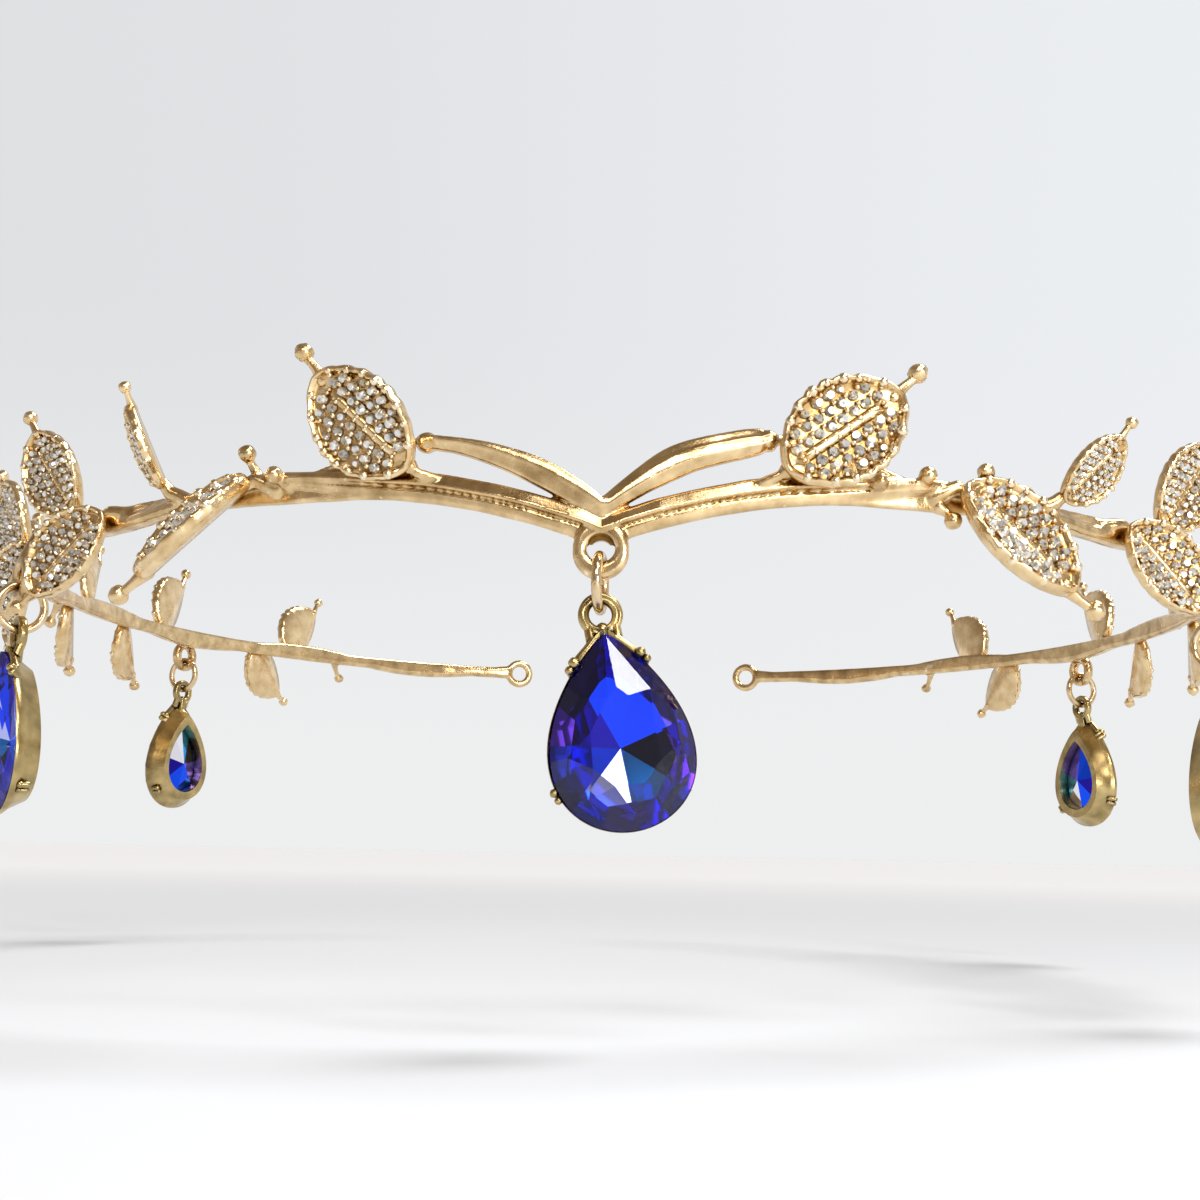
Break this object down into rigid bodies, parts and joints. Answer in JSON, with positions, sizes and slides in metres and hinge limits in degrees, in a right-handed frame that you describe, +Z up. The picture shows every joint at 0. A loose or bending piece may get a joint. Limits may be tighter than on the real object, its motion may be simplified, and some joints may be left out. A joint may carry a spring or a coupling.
{
  "type": "jewelled headband",
  "caption": "Open gold forehead circlet with a split V at the front, paved toothed leaves winding round the band and blue pear-cut drops hanging on rings.",
  "frame": {"origin": "middle of the ring at the band's middle level, where the head sits", "axes": "+X to the side named right, as seen from the front; -Y out of the forehead; +Z up"},
  "size_m": [0.172, 0.174, 0.0475],
  "materials": {
    "gold": "polished pale gold plating",
    "antique_gold": "darker gold plating",
    "clear_stone": "clear cut glass",
    "blue_stone": "deep blue cut glass"
  },
  "bodies": {
    "band": {"circlet": "gold", "leaf_stones": "clear_stone"},
    "ring_front": {"jump_ring_front": "antique_gold"},
    "drop_front": {"setting_front": "antique_gold", "pear_front": "blue_stone"},
    "ring_right": {"jump_ring_right": "antique_gold"},
    "drop_right": {"setting_right": "antique_gold", "pear_right": "blue_stone"},
    "ring_left": {"jump_ring_left": "antique_gold"},
    "drop_left": {"setting_left": "antique_gold", "pear_left": "blue_stone"},
    "ring_back_right": {"jump_ring_back_right": "antique_gold"},
    "drop_back_right": {"setting_back_right": "antique_gold", "pear_back_right": "blue_stone"},
    "ring_back_left": {"jump_ring_back_left": "antique_gold"},
    "drop_back_left": {"setting_back_left": "antique_gold", "pear_back_left": "blue_stone"}
  },
  "joints": [
    {"name": "swing_front", "type": "hinge", "parent": "band", "child": "ring_front", "pos_m": [0, -0.0863, -0.0075], "axis": [1, 0, 0], "range_deg": [-75, 75]},
    {"name": "sway_front", "type": "hinge", "parent": "ring_front", "child": "drop_front", "pos_m": [0, -0.0863, -0.01131], "axis": [0, -1, 0], "range_deg": [-60, 60]},
    {"name": "swing_right", "type": "hinge", "parent": "band", "child": "ring_right", "pos_m": [0.06523, -0.05836, -0.00865], "axis": [0.6153, 0.7883, 0], "range_deg": [-75, 75]},
    {"name": "sway_right", "type": "hinge", "parent": "ring_right", "child": "drop_right", "pos_m": [0.06523, -0.05836, -0.01246], "axis": [0.7883, -0.6153, 0], "range_deg": [-50, 50]},
    {"name": "swing_left", "type": "hinge", "parent": "band", "child": "ring_left", "pos_m": [-0.06523, -0.05836, -0.00645], "axis": [0.6153, -0.7883, 0], "range_deg": [-75, 75]},
    {"name": "sway_left", "type": "hinge", "parent": "ring_left", "child": "drop_left", "pos_m": [-0.06523, -0.05836, -0.01026], "axis": [-0.7883, -0.6153, 0], "range_deg": [-50, 50]},
    {"name": "swing_back_right", "type": "hinge", "parent": "band", "child": "ring_back_right", "pos_m": [0.07663, 0.03814, -0.00355], "axis": [-0.3979, 0.9174, 0], "range_deg": [-75, 75]},
    {"name": "sway_back_right", "type": "hinge", "parent": "ring_back_right", "child": "drop_back_right", "pos_m": [0.07663, 0.03814, -0.00736], "axis": [0.9174, 0.3979, 0], "range_deg": [-50, 50]},
    {"name": "swing_back_left", "type": "hinge", "parent": "band", "child": "ring_back_left", "pos_m": [-0.07663, 0.03814, -0.00355], "axis": [-0.3979, -0.9174, 0], "range_deg": [-75, 75]},
    {"name": "sway_back_left", "type": "hinge", "parent": "ring_back_left", "child": "drop_back_left", "pos_m": [-0.07663, 0.03814, -0.00736], "axis": [-0.9174, 0.3979, 0], "range_deg": [-50, 50]}
  ]
}
